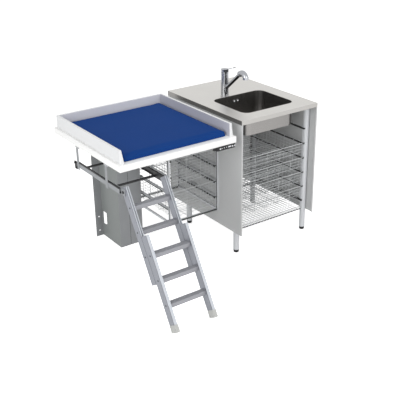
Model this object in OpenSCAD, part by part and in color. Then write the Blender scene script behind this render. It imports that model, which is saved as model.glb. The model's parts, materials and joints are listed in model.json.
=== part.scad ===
// Nursing-room unit: a steel cabinet with a bathtub and mixer tap, a storage bay
// with wire baskets, and beside them a motor-lifted changing table that carries
// a telescopic step ladder on sliding carriers.
// Millimetres, +Z up. Room X runs along the wall, room Y towards the wall.
// The row origin is the centre of the whole unit's base on the floor.

/* [Cabinet and bathtub] */
// worktop width along the wall
top_w = 600; // [500:1:900]
// worktop depth from front to wall
top_d = 800; // [650:1:900]
// worktop height above the floor
top_h = 900; // [850:1:950]
// height of the worktop's folded edge
top_edge = 27; // [20:1:50]
// steel sheet thickness of worktop, tub and panels
sheet = 2; // [1:0.5:3]
// tub opening width
tub_w = 400; // [280:1:420]
// tub opening depth from front to back
tub_d = 352; // [240:1:370]
// tub depth below the worktop's surface
tub_h = 145; // [100:1:150]
// tub corner radius
tub_r = 52; // [20:1:80]
// tub opening's distance from the worktop's left edge
tub_x = 101; // [80:1:120]
// tub opening's distance from the worktop's front edge
tub_y = 99; // [80:1:120]
// lower edge of the side panels above the floor
panel_low = 145; // [120:1:145]
// width of the side panels' folded front and rear lips
lip = 10; // [6:1:16]
// leg tube diameter
leg_d = 38; // [30:1:45]
// leg tube wall
leg_wall = 2; // [1.5:0.5:3]
// front legs' distance from the worktop's front edge
leg_y1 = 75; // [60:1:120]
// rear legs' distance from the worktop's front edge
leg_y2 = 605; // [500:1:620]
// adjustable foot height
foot_h = 20; // [15:1:40]
// adjustable foot diameter
foot_d = 34; // [25:1:36]

/* [Cabinet baskets] */
// height of the bottom shelf's underside
shelf_z = 148; // [146:1:170]
// square tube size of the shelf frame
shelf_t = 14; // [10:1:18]
// top of the lowest runner
run_z = 225; // [215:1:230]
// distance from one runner to the next
run_step = 100; // [95:1:100]
// runner width towards the inside
run_w = 12; // [10:1:14]
// runner height
run_h = 8; // [4:1:10]
// basket depth below its rim
bk_h = 85; // [60:1:86]
// basket rim width and height
rim = 6; // [4:1:7]
// basket wall thickness
bk_wall = 2; // [1.5:0.5:3]
// distance between the bars of baskets and shelf, rounded to share a face evenly
mesh_step = 80; // [60:1:90]
// width of those bars
mesh_bar = 4; // [3:0.5:6]
// clearance between moving pieces
gap = 0.5; // [0.4:0.1:0.8]

/* [Storage bay] */
// bay width left of the cabinet
bay_w = 372; // [300:1:374]
// bay front's distance behind the worktop's front edge
bay_y1 = 236; // [200:1:260]
// bay back's distance behind the worktop's front edge
bay_y2 = 700; // [600:1:720]
// bay height
bay_h = 497; // [480:1:520]
// gap between the bay's top and the table's arms
bay_gap = 28; // [15:1:40]
// post width
post_w = 12; // [10:1:16]
// post depth
post_d = 14; // [12:1:26]
// top of the bay's lowest runner above the bay's underside
bay_first = 96; // [95:1:106]
// distance from one bay runner to the next
bay_step = 107; // [100:1:108]
// depth of a bay basket below its rim
bay_bk_h = 185; // [120:1:186]

/* [Lift column] */
// column's centre, left of the cabinet
col_x = -463; // [-470:1:-463]
// column housing width
col_w = 166; // [150:1:166]
// column housing depth from the wall
col_d = 240; // [220:1:240]
// column housing height
col_h = 735; // [700:1:740]
// wall flange width
flange_w = 52; // [40:1:52]
// wall bolt hole diameter
bolt_d = 9; // [7:0.5:11]
// lowest wall bolt above the floor
bolt_z1 = 40; // [30:1:60]
// second wall bolt above the floor
bolt_z2 = 140; // [100:1:180]
// third wall bolt above the floor
bolt_z3 = 444; // [400:1:500]
// highest wall bolt above the floor
bolt_z4 = 640; // [560:1:680]
// mast tube width
mast_w = 100; // [80:1:110]
// mast tube depth
mast_d = 60; // [50:1:70]
// mast tube wall
mast_t = 3; // [2:0.5:4]
// height of the mast's lower end
mast_z = 60; // [50:1:80]
// gap between the column's cap and the table's arms
lift_gap = 33; // [20:1:60]
// actuator tube length
act_len = 415; // [380:1:430]
// length of actuator rod inside the tube at rest
rod_in = 300; // [260:1:320]
// actuator rod diameter
rod_d = 20; // [16:1:24]

/* [Changing table] */
// table slab width
slab_w = 786; // [700:1:800]
// table slab's left edge, left of the cabinet
slab_x = -834; // [-845:1:-830]
// table slab's front edge in front of the cabinet's front
slab_y = -13; // [-30:1:0]
// gap between the table slab and the wall
slab_gap = 5; // [2:1:30]
// table slab thickness
slab_t = 38; // [30:1:45]
// ledge outside the edge walls
ledge = 15; // [8:1:25]
// edge wall thickness at the slab
wall_t = 24; // [20:1:30]
// edge wall thickness at its top
wall_top = 16; // [12:1:20]
// edge wall height above the slab
wall_h = 78; // [50:1:120]
// set-back of the side walls' front ends at the slab
nose = 15; // [8:1:25]
// slant of the side walls' front ends
slant = 13; // [0:1:40]
// mattress thickness
pad_t = 32; // [12:1:50]
// bare strip of slab in front of the mattress
pad_front = 37; // [25:1:60]
// gap between the mattress and the edge walls
pad_gap = 3; // [1:1:8]
// underframe bar thickness
bar_t = 8; // [6:1:8]

/* [Ladder] */
// ladder's outer width
lad_w = 267; // [240:1:280]
// ladder's left outer face, left of the cabinet
lad_x = -817; // [-817:1:-810]
// lean of the ladder from the floor in degrees
lean = 59.5; // [58:0.5:62]
// rear edge of the ladder's foot in front of the cabinet's front
foot_y = -454; // [-460:1:-440]
// depth of a stringer
str_d = 56; // [50:1:58]
// width of a stringer
str_w = 18; // [18:1:22]
// stringer sheet thickness
str_t = 2.5; // [2:0.1:3]
// length of the upper section
up_len = 553; // [540:1:560]
// length by which the two sections overlap
lap_len = 270; // [260:1:280]
// top rung's distance from the upper section's end
rung_drop = 118; // [110:1:125]
// distance from rung to rung
rung_step = 139; // [130:1:140]
// rung height
rung_h = 24; // [20:1:26]
// rung tread depth
rung_d = 34; // [30:1:36]
// rung wall
rung_t = 2; // [1.5:0.5:3]
// foot cap height
cap_h = 43; // [30:1:60]
// foot cap wall
cap_t = 2; // [1:0.5:3]
// pivot's height below the table slab
piv_drop = 116; // [110:1:125]
// pivot's distance below the upper section's end
piv_s = 25; // [20:1:30]
// pivot's depth from the front of the upper section
piv_n = 41; // [38:1:44]
// pivot bolt diameter
piv_d = 8; // [6:1:10]

/* [Ladder guide] */
// rail channel depth
rail_d = 10; // [9:1:12]
// rail channel height
rail_h = 32; // [28:1:34]
// rail front end's distance behind the ladder's pivot
rail_lead = 24; // [22:1:30]
// gap between the rails' rear end and the column
rail_back = 50; // [40:1:80]
// carrier plate thickness
plate_t = 3; // [2:0.2:3]
// carrier plate height
plate_h = 38; // [30:1:40]
// front hanger's distance behind the cabinet's front
hang_y1 = 150; // [140:1:160]
// rear hanger's distance from the rails' rear end
hang_in = 14; // [13:1:30]
// hanger width
hang_w = 24; // [14:1:24]
// carrier crossbar's distance behind the ladder's pivot
bar_lead = 116; // [116:1:118]
// fixed crossbar's distance from the rails' rear end
bar_in = 80; // [30:1:82]
// crossbar diameter
bar_d = 14; // [10:1:14]

/* [Hand control] */
// hand control width
ctl_w = 135; // [120:1:150]
// hand control depth
ctl_d = 48; // [30:1:60]
// hand control height
ctl_h = 25; // [20:1:30]
// hand control's right end, left of the cabinet
ctl_x = -57; // [-60:1:-55]
// key diameter
key_d = 10; // [7:1:11]
// key travel
key_go = 1; // [0.6:0.1:1.5]

/* [Mixer tap] */
// tap's distance from the worktop's left edge
tap_x = 248; // [200:1:320]
// tap's distance from the worktop's front edge
tap_y = 500; // [485:1:560]
// tap body diameter
tap_d = 50; // [44:1:54]
// tap body height
tap_h = 146; // [135:1:160]
// spout tube diameter
spout_d = 24; // [18:1:25]
// spout tube length from the tap's axis
spout_l = 206; // [180:1:215]
// spout angle above the horizontal
spout_a = 40; // [38:0.2:44]
// spray head diameter
head_d = 36; // [30:1:38]
// tap lever length
lever_l = 96; // [80:1:105]
// tap lever's rise in degrees
lever_a = 18; // [12:1:24]

/* [Hidden] */
$fn = 48;

// row frame: the middle of the unit's base
knob_t = 6;
knob_d = 13;
hang_t = 3;
plate_gap = 0.6;
clr = 0.4;
rail_l = lad_x - plate_gap - plate_t - clr;
row_x = (min(slab_x, rail_l - rail_d - hang_t - knob_t) + top_w) / 2;
row_y = (top_d + foot_y - (str_d + cap_t) * sin(lean)) / 2;

// what rests on a seat lies this far above it
seat = 0.3;

// cabinet
leg_x = sheet + leg_d / 2;
leg_top = top_h - sheet;
foot_t = 3;
in_x = sheet + leg_d;
rack_n = 6;
strip_w = 20;
strip_t = 3;
rack_y1 = leg_y1 - 15;
rack_y2 = leg_y2 + 15;
mesh_t = 3;
mesh_y1 = leg_y1 + leg_d / 2 + gap;
mesh_y2 = leg_y2 - leg_d / 2 - gap;
bk_x = in_x + 4;
bk_y1 = rack_y1 - 2;
bk_y2 = leg_y2 - leg_d / 2 + 14;
tub_z = top_h - tub_h;
waste_d = 59;
waste_h = 15;
tail_d = 40;
tail_h = 40;
rim_t = 2;
waste_x = tub_x + tub_w / 2;
waste_y = tub_y + tub_d / 2;
over_d = 8;
over_pitch = 28;
over_z = top_h - 40;

// column
col_l = col_x - col_w / 2;
col_r = col_x + col_w / 2;
col_f = top_d - col_d;
base_t = 5;
cap_plate = 20;
mast_back = 95;
mast_y = top_d - mast_back;
seam_x = 10;
seam_w = 2.5;
act_foot = 55;

// changing table stack
arm_z = col_h + lift_gap;
beam_z = arm_z + bar_t;
slab_z = beam_z + bar_t;
head_t = 6;
head_z = arm_z - head_t;
slab_top = slab_z + slab_t;
slab_r = slab_x + slab_w;
slab_d = top_d - slab_gap - slab_y;
slab_yr = slab_y + slab_d - ledge;

// bay
bay_x = -bay_w;
bay_bk_x = post_w + 3;
tab_h = 30;
bay_z2 = arm_z - bay_gap;
bay_z1 = bay_z2 - bay_h;
bay_run = bay_z1 + bay_first;

// radial clearance of a pin in its bore
fit = 0.05;

// ladder: local x across, z up the stringers, -y towards the climber
lad_r = lad_x + lad_w;
up_y = 1;
slot_t = 2.2;
rivet_d = 6;
rivet_t = 1.2;
tee_h = 4.1;
piv_z = slab_z - piv_drop;
up_to = (piv_z + (up_y + piv_n) * cos(lean)) / sin(lean) + piv_s;
up_from = up_to - up_len;
low_len = up_from + lap_len;
rung_1 = up_to - rung_drop - 4 * rung_step;
piv_y = foot_y + (up_to - piv_s) * cos(lean) + (up_y + piv_n) * sin(lean);
bar_y1 = piv_y + bar_lead;
plate_y1 = piv_y - 20;
plate_y2 = bar_y1 + bar_d / 2 + 3;

// ladder guide
rail_z = piv_z + 1;
rail_y1 = piv_y + rail_lead;
rail_y2 = col_f - rail_back;
hang_y2 = rail_y2 - hang_in;
bar_y2 = rail_y2 - bar_in;
guide_l = lad_x - plate_gap - plate_t;
rail_r = lad_r + plate_gap + plate_t + clr;
liner_t = 1.5;
rail_t = 2;
shoe_h = rail_h - 2 * rail_t - 2 * liner_t - 2 * 0.3;

// tap
shank_d = 33;
shank_h = 40;
ring_z1 = 15;
ring_z2 = 75;
cap_ring = 5;
hood_h = 18;
hood_t = 4;
blade_w = 30;
blade_t = 5;
hose_d = 16;
stub_l = 70;
neck_r = tap_d / 2 - 7;

// hand control: the keys' distances from its right end
key_1 = 8;
key_2 = 24;
key_3 = 112;
ctl_y = slab_y - 3;
ctl_z = slab_z - ctl_h;
key_z = ctl_z + ctl_h / 2;

// moves room coordinates into the row frame
module row() {
    translate([-row_x, -row_y, 0]) children();
}

// box given by its two corners
module span(a, b) {
    translate(a) cube(b - a);
}

// box with round upright edges, made of boxes and cylinders
module rbox(w, d, h, r) {
    translate([r, 0, 0]) cube([w - 2 * r, d, h]);
    translate([0, r, 0]) cube([w, d - 2 * r, h]);
    for (x = [r, w - r], y = [r, d - r])
        translate([x, y, 0]) cylinder(r = r, h = h);
}

// cylinder along X
module xcyl(x1, x2, y, z, d) {
    translate([x1, y, z]) rotate([0, 90, 0]) cylinder(d = d, h = x2 - x1);
}

// cylinder along Y
module ycyl(y1, y2, x, z, d) {
    translate([x, y1, z]) rotate([-90, 0, 0]) cylinder(d = d, h = y2 - y1);
}

// ladder frame: rear edge of the foot on the floor, leaning to the rear
module ladder() {
    translate([0, foot_y, 0]) rotate([lean - 90, 0, 0]) children();
}

// ---- cabinet ----

module worktop() {
    row() color([0.80, 0.79, 0.77]) difference() {
        span([0, 0, top_h - top_edge], [top_w, top_d, top_h]);
        span([sheet, sheet, top_h - top_edge - 1], [top_w - sheet, top_d - sheet, top_h - sheet]);
        translate([tub_x, tub_y, top_h - top_edge]) rbox(tub_w, tub_d, 2 * top_edge, tub_r);
        translate([tap_x, tap_y, top_h - top_edge]) cylinder(d = shank_d + 2, h = 2 * top_edge);
    }
}

module tub() {
    row() color([0.62, 0.61, 0.60]) difference() {
        translate([tub_x, tub_y, tub_z]) rbox(tub_w, tub_d, tub_h, tub_r);
        translate([tub_x + sheet, tub_y + sheet, tub_z + sheet])
            rbox(tub_w - 2 * sheet, tub_d - 2 * sheet, tub_h, tub_r - sheet);
        translate([waste_x, waste_y, tub_z - 1]) cylinder(d = waste_d + 1, h = sheet + 2);
        overflow_holes(over_d + 2);
    }
}

// the two round holes of the overflow, through the tub's rear wall
module overflow_holes(d) {
    for (side = [-1, 1])
        ycyl(tub_y + tub_d - 10, tub_y + tub_d + 5, waste_x + side * over_pitch / 2, over_z, d);
}

module waste() {
    row() color([0.7, 0.7, 0.7]) translate([waste_x, waste_y, tub_z]) difference() {
        union() {
            translate([0, 0, sheet]) cylinder(d = waste_d + 13, h = rim_t);
            translate([0, 0, -waste_h]) cylinder(d = waste_d, h = waste_h + sheet);
            translate([0, 0, -waste_h - tail_h]) cylinder(d = tail_d, h = tail_h + 5);
        }
        translate([0, 0, -waste_h - tail_h - 1]) cylinder(d = tail_d - 5, h = waste_h + tail_h + 20);
    }
}

module plug() {
    row() color([0.72, 0.72, 0.72]) translate([waste_x, waste_y, tub_z + sheet + rim_t]) {
        translate([0, 0, seat]) cylinder(d = waste_d - 7, h = 4);
        translate([0, 0, -12]) cylinder(d = tail_d - 6, h = 13);
        translate([0, 0, 4]) cylinder(d = 12, h = 10);
    }
}

module overflow_cover() {
    y = tub_y + tub_d - sheet;
    row() color([0.8, 0.8, 0.8]) difference() {
        union() {
            for (side = [-1, 1])
                ycyl(y - rim_t, y, waste_x + side * over_pitch / 2, over_z, over_d * 3);
            span([waste_x - over_pitch / 2, y - rim_t, over_z - over_d / 2],
                [waste_x + over_pitch / 2, y, over_z + over_d / 2]);
        }
        overflow_holes(over_d);
    }
}

// side panel as a folded sheet: side 0 is left, side 1 is right
module panel(side) {
    x = side * top_w;
    s = 1 - 2 * side;
    row() color([0.66, 0.66, 0.66]) translate([x, 0, 0]) mirror([side, 0, 0]) {
        span([0, 0, panel_low], [sheet, top_d - sheet, top_h - top_edge]);
        span([0, 0, panel_low], [lip, sheet, top_h - top_edge]);
        span([0, top_d - 2 * sheet, panel_low], [lip, top_d - sheet, top_h - top_edge]);
    }
}

module panel_left() {
    panel(0);
}

module panel_right() {
    panel(1);
}

module legs() {
    row() color([0.78, 0.79, 0.8])
        for (x = [leg_x, top_w - leg_x], y = [leg_y1, leg_y2])
            translate([x, y, foot_h]) difference() {
                cylinder(d = leg_d, h = leg_top - foot_h);
                translate([0, 0, -1]) cylinder(d = leg_d - 2 * leg_wall, h = leg_top);
            }
}

module feet() {
    row() color([0.08, 0.08, 0.08])
        for (x = [leg_x, top_w - leg_x], y = [leg_y1, leg_y2])
            translate([x, y, 0]) {
                cylinder(d1 = foot_d - 2 * foot_t, d2 = foot_d, h = foot_t);
                translate([0, 0, foot_t]) cylinder(d = foot_d, h = foot_h - foot_t);
                translate([0, 0, foot_h - foot_t]) cylinder(d = leg_d, h = foot_t);
                translate([0, 0, foot_h]) cylinder(d = leg_d - 2 * leg_wall, h = 4 * foot_t);
            }
}

// strips on the legs with the runners that carry the baskets
module rack() {
    top = run_z + (rack_n - 1) * run_step;
    for (y = [leg_y1, leg_y2])
        span([in_x, y - strip_w / 2, run_z - strip_w], [in_x + strip_t, y + strip_w / 2, top + run_h]);
    for (z = [run_z : run_step : top]) {
        span([in_x, rack_y1, z - run_h], [in_x + run_w, rack_y2, z]);
        span([in_x + 1, rack_y2 - strip_t, z - run_h], [in_x + run_w, rack_y2, z + run_h]);
    }
}

module runner_racks() {
    row() color([0.15, 0.16, 0.16]) {
        rack();
        translate([top_w, 0, 0]) mirror([1, 0, 0]) rack();
    }
}

module shelf_rails() {
    row() color([0.15, 0.16, 0.16])
        for (y = [leg_y1, leg_y2])
            span([in_x, y - shelf_t / 2, shelf_z],
                [top_w - in_x, y + shelf_t / 2, shelf_z + shelf_t - mesh_t]);
}

// between the legs the barred plate reaches the panels
module bottom_shelf() {
    z1 = shelf_z + shelf_t - mesh_t;
    z2 = shelf_z + shelf_t;
    row() color([0.46, 0.46, 0.47]) difference() {
        union() {
            span([in_x, leg_y1 - shelf_t / 2, z1], [top_w - in_x, leg_y2 + shelf_t / 2, z2]);
            span([sheet, mesh_y1, z1], [top_w - sheet, mesh_y2, z2]);
        }
        openings([sheet + shelf_t, mesh_y1 + shelf_t, z1 - 1],
            [top_w - sheet - shelf_t, mesh_y2 - shelf_t, z2 + 1],
            round((top_w - 2 * shelf_t) / mesh_step), round((mesh_y2 - mesh_y1) / mesh_step), 1);
    }
}

// boxes that fill a box from a to b, with bars left between them, as many across as given
module openings(a, b, nx, ny, nz) {
    dx = (b[0] - a[0] + mesh_bar) / nx;
    dy = (b[1] - a[1] + mesh_bar) / ny;
    dz = (b[2] - a[2] + mesh_bar) / nz;
    for (i = [0 : nx - 1], j = [0 : ny - 1], k = [0 : nz - 1])
        translate([a[0] + i * dx, a[1] + j * dy, a[2] + k * dz])
            cube([dx - mesh_bar, dy - mesh_bar, dz - mesh_bar]);
}

// open basket: rim all round, carried on its side rims, barred walls set in from them
module basket(x1, x2, y1, y2, z, h) {
    zt = z + seat + rim;
    in = run_w + 2;
    a = [x1 + in + rim, y1 + rim, zt - h + rim];
    b = [x2 - in - rim, y2 - rim, zt - rim - mesh_bar];
    nx = round((b[0] - a[0]) / mesh_step);
    ny = round((b[1] - a[1]) / mesh_step);
    nz = max(1, round((b[2] - a[2]) / mesh_step));
    difference() {
        union() {
            span([x1, y1, z + seat], [x2, y2, zt]);
            span([x1 + in, y1, zt - h], [x2 - in, y2, zt - 1]);
        }
        span([x1 + in + bk_wall, y1 + bk_wall, zt - h + bk_wall],
            [x2 - in - bk_wall, y2 - bk_wall, zt + 1]);
        span([x1 + rim, y1 + rim, z + seat + 2], [x2 - rim, y2 - rim, zt + 1]);
        openings([a[0], a[1], zt - h - 1], [b[0], b[1], zt - h + bk_wall + 1], nx, ny, 1);
        openings([x1 + in - 1, a[1], a[2]], [x2 - in + 1, b[1], b[2]], 1, ny, nz);
        openings([a[0], y1 - 1, a[2]], [b[0], y2 + 1, b[2]], nx, 1, nz);
    }
}

module cab_basket(i) {
    row() color([0.46, 0.46, 0.47])
        basket(bk_x, top_w - bk_x, bk_y1, bk_y2, run_z + i * run_step, bk_h);
}

module basket_1() {
    cab_basket(1);
}

module basket_2() {
    cab_basket(2);
}

module basket_3() {
    cab_basket(3);
}

module basket_4() {
    cab_basket(4);
}

// ---- storage bay ----

module bay_side() {
    for (y = [bay_y1, bay_y2 - post_d])
        span([0, y, bay_z1], [post_w, y + post_d, bay_z2]);
    for (z = [bay_z1, bay_z2 - post_w])
        span([0, bay_y1 + 1, z], [post_w, bay_y2 - 1, z + post_w]);
    for (i = [0 : 3]) {
        z = bay_run + i * bay_step;
        span([2, bay_y1 + 4, z - 6], [post_w + run_w, bay_y2 - 1, z]);
    }
}

module bay_side_left() {
    row() color([0.78, 0.78, 0.78]) {
        translate([bay_x, 0, 0]) bay_side();
        for (z = [bay_z1 + post_w, bay_z2 - post_w - tab_h])
            span([col_r, bay_y2 - post_d, z], [bay_x + 1, bay_y2, z + tab_h]);
    }
}

module bay_side_right() {
    row() color([0.78, 0.78, 0.78]) mirror([1, 0, 0]) bay_side();
}

module bay_rails() {
    row() color([0.3, 0.31, 0.31])
        for (y = [bay_y1, bay_y2 - post_w], z = [bay_z1, bay_z2 - post_w])
            span([bay_x + post_w, y, z], [-post_w, y + post_w, z + post_w]);
}

module bay_basket(i) {
    row() color([0.46, 0.46, 0.47])
        basket(bay_x + bay_bk_x, -bay_bk_x, bay_y1 + 2, bay_y2 - post_w - 2,
            bay_run + i * bay_step, bay_bk_h);
}

module bay_basket_low() {
    bay_basket(1);
}

module bay_basket_high() {
    bay_basket(3);
}

// ---- lift column ----

// side sheet with its wall flange: side -1 is left, side 1 is right
module column_side(side) {
    x = side < 0 ? col_l : col_r - sheet;
    f1 = side < 0 ? col_l - flange_w : col_r - sheet;
    f2 = side < 0 ? col_l + sheet : col_r + flange_w;
    fx = side < 0 ? col_l - flange_w / 2 : col_r + flange_w / 2;
    row() color([0.52, 0.54, 0.53]) difference() {
        union() {
            span([x, col_f + sheet, 0], [x + sheet, top_d, col_h]);
            span([f1, top_d - sheet, 0], [f2, top_d, col_h]);
        }
        for (z = [bolt_z1, bolt_z2, bolt_z3, bolt_z4])
            ycyl(top_d - sheet - 2, top_d + 2, fx, z, bolt_d);
        if (side < 0)
            span([x - 2, top_d - 62, 92], [x + sheet + 2, top_d - 18, 180]);
    }
}

module column_side_left() {
    column_side(-1);
}

module column_side_right() {
    column_side(1);
}

module column_cover() {
    row() color([0.66, 0.67, 0.68]) difference() {
        span([col_l, col_f, 0], [col_r, col_f + sheet, col_h]);
        span([col_x - seam_x, col_f - 1, -1], [col_x - seam_x + seam_w, col_f + sheet / 2, col_h + 1]);
    }
}

module column_base() {
    row() color([0.5, 0.5, 0.5])
        span([col_l + sheet, col_f + sheet, 0], [col_r - sheet, top_d - sheet, base_t]);
}

module column_cap() {
    row() color([0.5, 0.5, 0.5]) difference() {
        span([col_l + sheet, col_f + sheet, col_h - cap_plate],
            [col_r - sheet, top_d - sheet, col_h]);
        span([col_x - mast_w / 2 - gap, mast_y - mast_d / 2 - gap, col_h - cap_plate - 1],
            [col_x + mast_w / 2 + gap, mast_y + mast_d / 2 + gap, col_h + 1]);
    }
}

module actuator_tube() {
    row() color([0.2, 0.2, 0.2]) translate([col_x, mast_y, base_t]) difference() {
        cylinder(d = rod_d * 2, h = act_len);
        translate([0, 0, act_foot]) cylinder(d = rod_d + 2 * fit, h = act_len);
    }
}

module actuator_rod() {
    z = base_t + act_len - rod_in;
    row() color([0.8, 0.8, 0.82]) translate([col_x, mast_y, z]) cylinder(d = rod_d, h = head_z - z);
}

module mast() {
    row() color([0.72, 0.73, 0.74]) {
        difference() {
            union() {
                span([col_x - mast_w / 2, mast_y - mast_d / 2, mast_z],
                    [col_x + mast_w / 2, mast_y + mast_d / 2, head_z + 1]);
                span([col_l + sheet + 4, col_f + sheet + 4, mast_z],
                    [col_r - sheet - 4, top_d - sheet - 4, mast_z + 12]);
            }
            span([col_x - mast_w / 2 + mast_t, mast_y - mast_d / 2 + mast_t, mast_z - 1],
                [col_x + mast_w / 2 - mast_t, mast_y + mast_d / 2 - mast_t, head_z]);
        }
        span([col_x - 60, mast_y - 65, head_z], [col_x + 60, mast_y + 65, arm_z]);
    }
}

// ---- changing table ----

// two arms on the mast's head, and two cross beams over them
module underframe() {
    row() color([0.6, 0.61, 0.62]) {
        for (x = [col_x - 45, col_x + 15])
            span([x, hang_y1 - 90, arm_z], [x + 30, mast_y + 65, beam_z]);
        for (y = [hang_y1, hang_y2])
            span([slab_x, y - 20, beam_z], [slab_r - 12, y + 20, slab_z]);
    }
}

module table_slab() {
    row() color([0.93, 0.93, 0.92])
        translate([slab_x, slab_y, slab_z]) rbox(slab_w, slab_d, slab_t, 5);
}

// section of an edge wall: upright outside at 0, thinner towards its top
module wall_section() {
    polygon([[0, slab_top], [wall_t, slab_top], [wall_top, slab_top + wall_h],
        [0, slab_top + wall_h]]);
}

// left wall, with a slanted front end
module edge_wall() {
    y1 = slab_y + nose;
    difference() {
        translate([slab_x + ledge, slab_yr, 0]) rotate([90, 0, 0])
            linear_extrude(slab_yr - y1) wall_section();
        translate([slab_x, 0, 0]) rotate([90, 0, 90]) linear_extrude(ledge + wall_t + 1)
            polygon([[y1 - 1, slab_top], [y1, slab_top], [y1 + slant, slab_top + wall_h],
                [y1 + slant, slab_top + wall_h + 1], [y1 - 1, slab_top + wall_h + 1]]);
    }
}

// mirrors a left piece of the table to the right
module right_wall() {
    translate([slab_x + slab_r, 0, 0]) mirror([1, 0, 0]) edge_wall();
}

module edge_wall_left() {
    row() color([0.9, 0.9, 0.91]) edge_wall();
}

module edge_wall_right() {
    row() color([0.9, 0.9, 0.91]) right_wall();
}

// rear wall, mitred to the side walls' inner faces
module edge_wall_rear() {
    row() color([0.9, 0.9, 0.91]) difference() {
        translate([slab_x + ledge, slab_yr, 0]) rotate([90, 0, 90])
            linear_extrude(slab_w - 2 * ledge) mirror([1, 0]) wall_section();
        edge_wall();
        right_wall();
    }
}

module mattress() {
    x1 = slab_x + ledge + wall_t + pad_gap;
    x2 = slab_r - ledge - wall_t - pad_gap;
    y1 = slab_y + pad_front;
    y2 = slab_yr - wall_t - pad_gap;
    row() color([0.13, 0.27, 0.52])
        translate([x1, y1, slab_top]) rbox(x2 - x1, y2 - y1, pad_t, 18);
}

module hangers() {
    row() color([0.55, 0.57, 0.58])
        for (x = [rail_l - rail_d - hang_t, rail_r + rail_d], y = [hang_y1, hang_y2])
            span([x, y - hang_w / 2, rail_z - rail_h / 2 - 12], [x + hang_t, y + hang_w / 2, beam_z]);
}

// left rail: a channel that is open towards the ladder
module rail() {
    difference() {
        span([rail_l - rail_d, rail_y1, rail_z - rail_h / 2], [rail_l, rail_y2, rail_z + rail_h / 2]);
        span([rail_l - rail_d + rail_t, rail_y1 - 1, rail_z - rail_h / 2 + rail_t],
            [rail_l + 1, rail_y2 + 1, rail_z + rail_h / 2 - rail_t]);
    }
}

// mirrors a left piece of the guide or ladder to the right
module other_side() {
    translate([lad_x + lad_r, 0, 0]) mirror([1, 0, 0]) children();
}

module rail_left() {
    row() color([0.5, 0.52, 0.53]) rail();
}

module rail_right() {
    row() color([0.16, 0.16, 0.17]) other_side() rail();
}

module liner() {
    h = rail_h / 2 - rail_t;
    difference() {
        span([rail_l - rail_d + rail_t, rail_y1, rail_z - h], [rail_l, rail_y2, rail_z + h]);
        span([rail_l - rail_d + rail_t + 1, rail_y1 - 1, rail_z - h + liner_t],
            [rail_l + 1, rail_y2 + 1, rail_z + h - liner_t]);
    }
    span([rail_l - rail_d, rail_y1, rail_z + rail_h / 2], [rail_l, rail_y2, rail_z + rail_h / 2 + 1.5]);
}

module rail_liners() {
    row() color([0.07, 0.07, 0.07]) {
        liner();
        other_side() liner();
    }
}

module end_plate() {
    x = rail_l - rail_d;
    span([x - hang_t, rail_y2 - gap, rail_z - rail_h], [x, rail_y2 + rail_h, rail_z + rail_h / 2]);
    span([x - 0.5, rail_y2, rail_z - rail_h / 2], [rail_l, rail_y2 + hang_t, rail_z + rail_h / 2]);
    for (p = [[rail_h * 0.7, rail_h * 0.2], [rail_h * 0.25, -rail_h * 0.7]])
        xcyl(x - hang_t - knob_t, x - 2, rail_y2 + p[0], rail_z + p[1], knob_d);
}

module rail_end_plates() {
    row() color([0.2, 0.21, 0.21]) {
        end_plate();
        other_side() end_plate();
    }
}

module fixed_crossbar() {
    row() color([0.1, 0.1, 0.1])
        xcyl(rail_l - rail_d + rail_t + 1, lad_x + lad_r - rail_l + rail_d - rail_t - 1,
            bar_y2, rail_z, bar_d);
}

// left carrier: a plate with two glide shoes in the rail
module carrier() {
    difference() {
        union() {
            span([guide_l, plate_y1, rail_z - plate_h / 2], [guide_l + plate_t, plate_y2,
                rail_z + plate_h / 2]);
            for (y = [rail_y1 + 18, plate_y2 - 22])
                span([guide_l - rail_d + rail_t + 1.5, y - 15, rail_z - shoe_h / 2],
                    [guide_l + 1, y + 15, rail_z + shoe_h / 2]);
        }
        xcyl(guide_l - 1, guide_l + plate_t + 1, piv_y, piv_z, piv_d + 2 * fit);
    }
}

module carrier_left() {
    row() color([0.45, 0.46, 0.47]) carrier();
}

module carrier_right() {
    row() color([0.2, 0.2, 0.21]) other_side() carrier();
}

module carrier_crossbar() {
    row() color([0.1, 0.1, 0.1])
        xcyl(guide_l + plate_t, lad_x + lad_r - guide_l - plate_t, bar_y1, rail_z - 9, bar_d);
}

module pivot_bolt() {
    xcyl(guide_l - 6, guide_l, piv_y, piv_z, 2 * piv_d);
    xcyl(guide_l - 1, lad_x + str_t + 8, piv_y, piv_z, piv_d);
}

module pivot_bolts() {
    row() color([0.06, 0.06, 0.06]) {
        pivot_bolt();
        other_side() pivot_bolt();
    }
}

// ---- ladder, drawn in its own frame ----

// upper stringer: a box section with an undercut slot along its front
module upper_stringer() {
    difference() {
        translate([lad_x, up_y, up_from]) linear_extrude(up_to - up_from) difference() {
            square([str_w, str_d]);
            translate([str_t, 2 * slot_t + tee_h])
                square([str_w - 2 * str_t, str_d - 2 * slot_t - tee_h - str_t]);
            translate([str_t, slot_t]) square([str_w - str_t - slot_t, tee_h]);
            translate([6, -1]) square([6, slot_t + 2]);
        }
        xcyl(lad_x - 1, lad_x + str_t + 1, up_y + piv_n, up_to - piv_s, piv_d + 2 * fit);
        for (i = [2 : 4])
            xcyl(lad_x - 1, lad_x + str_w + 1, up_y + str_d / 2 + 3, rung_1 + i * rung_step,
                rivet_d + 2 * fit);
    }
}

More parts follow.
